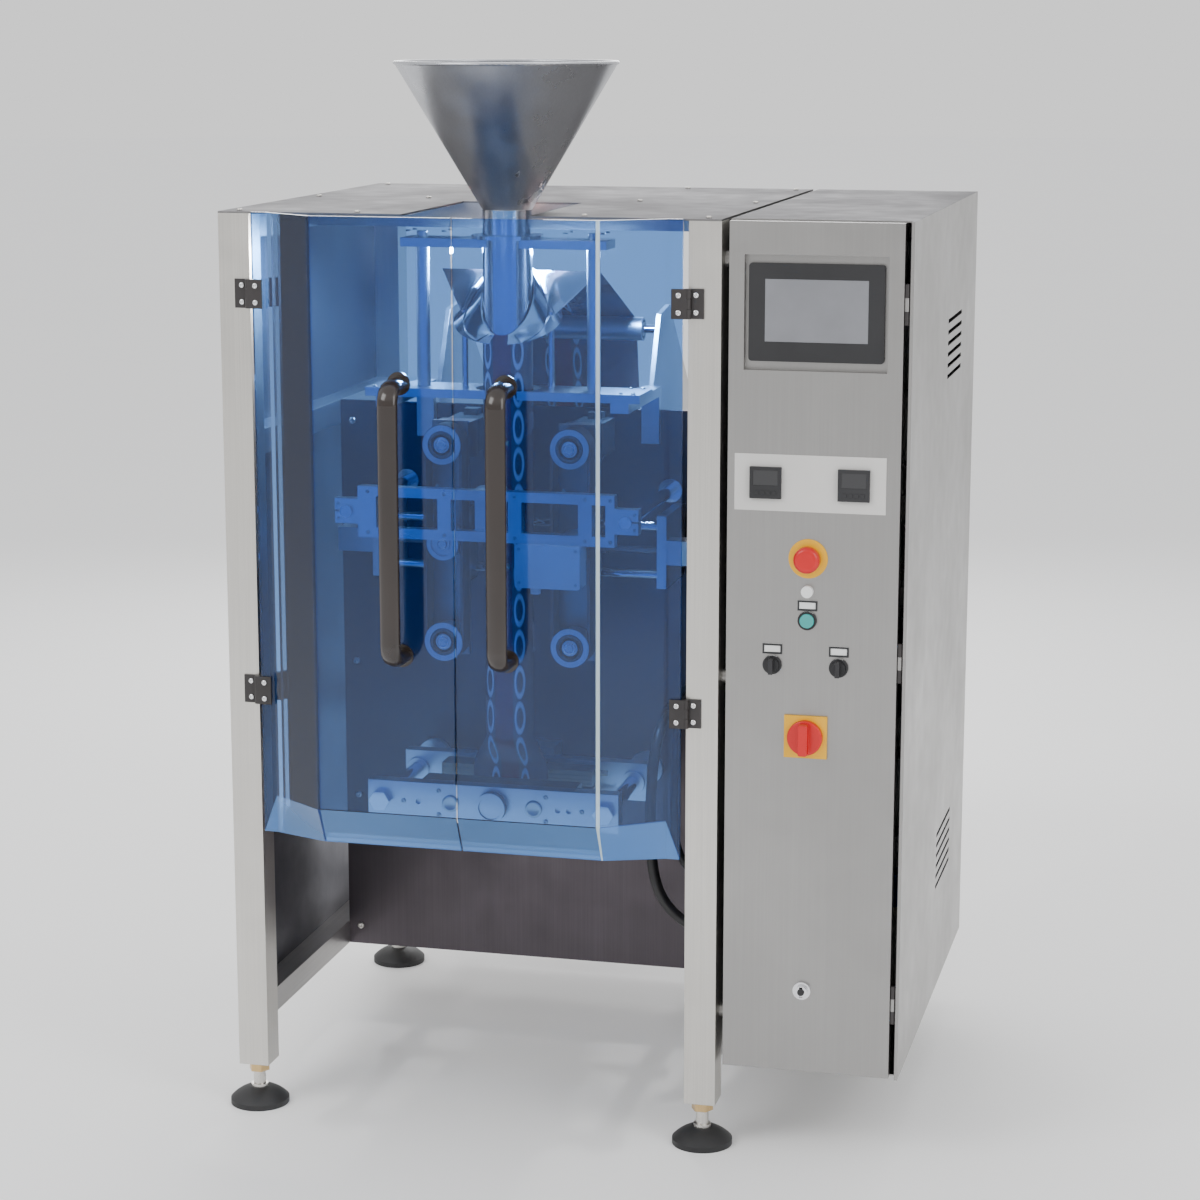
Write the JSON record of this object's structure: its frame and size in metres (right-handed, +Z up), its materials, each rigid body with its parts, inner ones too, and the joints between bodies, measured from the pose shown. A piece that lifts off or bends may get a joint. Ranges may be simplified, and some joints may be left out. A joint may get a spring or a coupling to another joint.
{
  "type": "vertical form fill sealer",
  "caption": "Free-standing bagging machine: film reel, forming tube and collar, pull belts, sealing jaws, tinted bent doors and a side control cabinet.",
  "frame": {"origin": "on the floor, under the middle of the machine's bounding box", "axes": "+Z up; -Y is the operator's side, with the tinted doors; +X is the cabinet's side; the film reel is at +Y"},
  "size_m": [1.1049, 1.273, 1.688],
  "materials": {
    "stainless_frame": "satin",
    "stainless_sheet": "brushed",
    "plate_grey": "satin",
    "foot_rubber": "matt",
    "zinc_steel": "zinc plated",
    "machined_aluminium": "machined",
    "anodised_aluminium": "anodised",
    "polished_steel": "polished",
    "hard_chrome": "ground and polished",
    "belt_rubber": "matt",
    "heater_brass": "machined",
    "white_plastic": "matt",
    "printed_film": "gloss printed film",
    "blue_acrylic": "tinted translucent",
    "black_plastic": "matt",
    "brushed_cabinet": "brushed",
    "electrics_grey": "matt",
    "light_grey_panel": "satin",
    "screen_glass": "gloss",
    "red_plastic": "gloss",
    "green_plastic": "gloss",
    "hose_black": "satin"
  },
  "bodies": {
    "frame": {"frame_posts": "stainless_frame", "frame_rails": "stainless_frame", "outer_panels": "stainless_sheet", "mounting_plate": "plate_grey", "foot_pads": "foot_rubber", "foot_stems": "zinc_steel", "forming_shelf": "machined_aluminium", "forming_bridge": "machined_aluminium", "forming_tube": "polished_steel", "funnel": "polished_steel", "forming_collar": "polished_steel", "guide_rods": "hard_chrome", "rod_brackets": "machined_aluminium", "cross_plate": "machined_aluminium", "air_cylinders": "anodised_aluminium", "sensor_box": "white_plastic", "film_side_plates": "stainless_sheet", "roller_shafts": "hard_chrome", "film_web": "printed_film", "film_tube": "printed_film", "fixed_hinges": "black_plastic", "cabinet_shell": "brushed_cabinet", "cabinet_electrics": "electrics_grey", "hose_a": "hose_black", "hose_b": "hose_black", "hose_glands": "black_plastic"},
    "left_door_leaf": {"left_door": "blue_acrylic", "left_door_fittings": "black_plastic"},
    "right_door_leaf": {"right_door": "blue_acrylic", "right_door_fittings": "black_plastic"},
    "cabinet_door_leaf": {"cabinet_door": "brushed_cabinet", "hmi_housing": "light_grey_panel", "hmi_screen": "screen_glass", "panel_fittings": "black_plastic"},
    "lock_cam": {"cam_lock": "zinc_steel"},
    "emergency_stop": {"estop_button": "red_plastic"},
    "start_button": {"green_button": "green_plastic"},
    "selector_switch_left": {"selector_left": "black_plastic"},
    "selector_switch_right": {"selector_right": "black_plastic"},
    "main_switch": {"switch_knob": "red_plastic"},
    "left_belt_carriage": {"belt_unit_left": "machined_aluminium", "pull_belt_left": "belt_rubber"},
    "right_belt_carriage": {"belt_unit_right": "machined_aluminium", "pull_belt_right": "belt_rubber"},
    "left_upper_pulley": {"drive_pulley_left": "machined_aluminium"},
    "left_lower_pulley": {"return_pulley_left": "machined_aluminium"},
    "right_upper_pulley": {"drive_pulley_right": "machined_aluminium"},
    "right_lower_pulley": {"return_pulley_right": "machined_aluminium"},
    "sealer_bar": {"vertical_sealer": "heater_brass"},
    "front_jaw_assembly": {"front_carrier": "machined_aluminium", "jaw_rods": "hard_chrome", "front_jaw": "heater_brass"},
    "rear_jaw_assembly": {"rear_jaw": "heater_brass"},
    "knife_blade": {"knife": "polished_steel"},
    "rear_idler": {"idler_rear": "anodised_aluminium"},
    "top_idler": {"idler_top": "anodised_aluminium"},
    "dancer": {"dancer_arm": "machined_aluminium"},
    "dancer_drum": {"dancer_roller": "anodised_aluminium"},
    "reel": {"reel_spindle": "hard_chrome", "film_roll": "printed_film"}
  },
  "joints": [
    {"name": "left_door_hinge", "type": "hinge", "parent": "frame", "child": "left_door_leaf", "pos_m": [-0.4795, -0.4995, 1.02], "axis": [0, 0, -1], "range_deg": [0, 110]},
    {"name": "right_door_hinge", "type": "hinge", "parent": "frame", "child": "right_door_leaf", "pos_m": [0.2155, -0.4995, 1.02], "axis": [0, 0, 1], "range_deg": [0, 110]},
    {"name": "cabinet_door_hinge", "type": "hinge", "parent": "frame", "child": "cabinet_door_leaf", "pos_m": [0.5425, -0.4855, 0.8], "axis": [0, 0, 1], "range_deg": [0, 100]},
    {"name": "cabinet_lock_turn", "type": "hinge", "parent": "cabinet_door_leaf", "child": "lock_cam", "pos_m": [0.4015, -0.4835, 0.274], "axis": [0, 1, 0], "range_deg": [0, 90]},
    {"name": "emergency_stop_push", "type": "slide", "parent": "cabinet_door_leaf", "child": "emergency_stop", "axis": [0, 1, 0], "range_m": [0, 0.005], "stiffness_N_per_m": 800},
    {"name": "start_button_push", "type": "slide", "parent": "cabinet_door_leaf", "child": "start_button", "axis": [0, 1, 0], "range_m": [0, 0.0035], "stiffness_N_per_m": 500},
    {"name": "left_selector_turn", "type": "hinge", "parent": "cabinet_door_leaf", "child": "selector_switch_left", "pos_m": [0.3485, -0.4935, 0.789], "axis": [0, 1, 0], "range_deg": [-45, 45]},
    {"name": "right_selector_turn", "type": "hinge", "parent": "cabinet_door_leaf", "child": "selector_switch_right", "pos_m": [0.4505, -0.4935, 0.789], "axis": [0, 1, 0], "range_deg": [-45, 45]},
    {"name": "main_switch_turn", "type": "hinge", "parent": "cabinet_door_leaf", "child": "main_switch", "pos_m": [0.4015, -0.4935, 0.679], "axis": [0, 1, 0], "range_deg": [0, 90]},
    {"name": "left_belt_press", "type": "slide", "parent": "frame", "child": "left_belt_carriage", "axis": [1, 0, 0], "range_m": [0, 0.0325]},
    {"name": "right_belt_press", "type": "slide", "parent": "frame", "child": "right_belt_carriage", "axis": [-1, 0, 0], "range_m": [0, 0.0325]},
    {"name": "left_upper_pulley_spin", "type": "hinge", "parent": "left_belt_carriage", "child": "left_upper_pulley", "pos_m": [-0.239, -0.2535, 1.075], "axis": [0, 1, 0], "continuous": true},
    {"name": "left_lower_pulley_spin", "type": "hinge", "parent": "left_belt_carriage", "child": "left_lower_pulley", "pos_m": [-0.239, -0.2535, 0.749], "axis": [0, 1, 0], "continuous": true},
    {"name": "right_upper_pulley_spin", "type": "hinge", "parent": "right_belt_carriage", "child": "right_upper_pulley", "pos_m": [-0.025, -0.2535, 1.075], "axis": [0, 1, 0], "continuous": true},
    {"name": "right_lower_pulley_spin", "type": "hinge", "parent": "right_belt_carriage", "child": "right_lower_pulley", "pos_m": [-0.025, -0.2535, 0.749], "axis": [0, 1, 0], "continuous": true},
    {"name": "sealer_press", "type": "slide", "parent": "frame", "child": "sealer_bar", "axis": [0, 1, 0], "range_m": [0, 0.013]},
    {"name": "front_jaw_close", "type": "slide", "parent": "frame", "child": "front_jaw_assembly", "axis": [0, 1, 0], "range_m": [0, 0.0335]},
    {"name": "rear_jaw_close", "type": "slide", "parent": "frame", "child": "rear_jaw_assembly", "axis": [0, -1, 0], "range_m": [0, 0.0335]},
    {"name": "knife_cut", "type": "slide", "parent": "front_jaw_assembly", "child": "knife_blade", "axis": [0, 1, 0], "range_m": [0, 0.022]},
    {"name": "rear_idler_spin", "type": "hinge", "parent": "frame", "child": "rear_idler", "pos_m": [-0.132, 0.3465, 0.96], "axis": [1, 0, 0], "continuous": true},
    {"name": "top_idler_spin", "type": "hinge", "parent": "frame", "child": "top_idler", "pos_m": [-0.132, 0.0665, 1.235], "axis": [1, 0, 0], "continuous": true},
    {"name": "dancer_swing", "type": "hinge", "parent": "frame", "child": "dancer", "pos_m": [-0.132, 0.0665, 0.62], "axis": [1, 0, 0], "range_deg": [-20, 25], "deforming": ["film_web"]},
    {"name": "dancer_drum_spin", "type": "hinge", "parent": "dancer", "child": "dancer_drum", "pos_m": [-0.132, 0.2215, 0.62], "axis": [1, 0, 0], "continuous": true},
    {"name": "reel_spin", "type": "hinge", "parent": "frame", "child": "reel", "pos_m": [-0.132, 0.4865, 0.64], "axis": [1, 0, 0], "continuous": true}
  ],
  "couplings": [
    {"joint": "left_lower_pulley_spin", "follows": "left_upper_pulley_spin", "ratio": 1},
    {"joint": "right_lower_pulley_spin", "follows": "right_upper_pulley_spin", "ratio": 1},
    {"joint": "rear_jaw_close", "follows": "front_jaw_close", "ratio": 1}
  ]
}
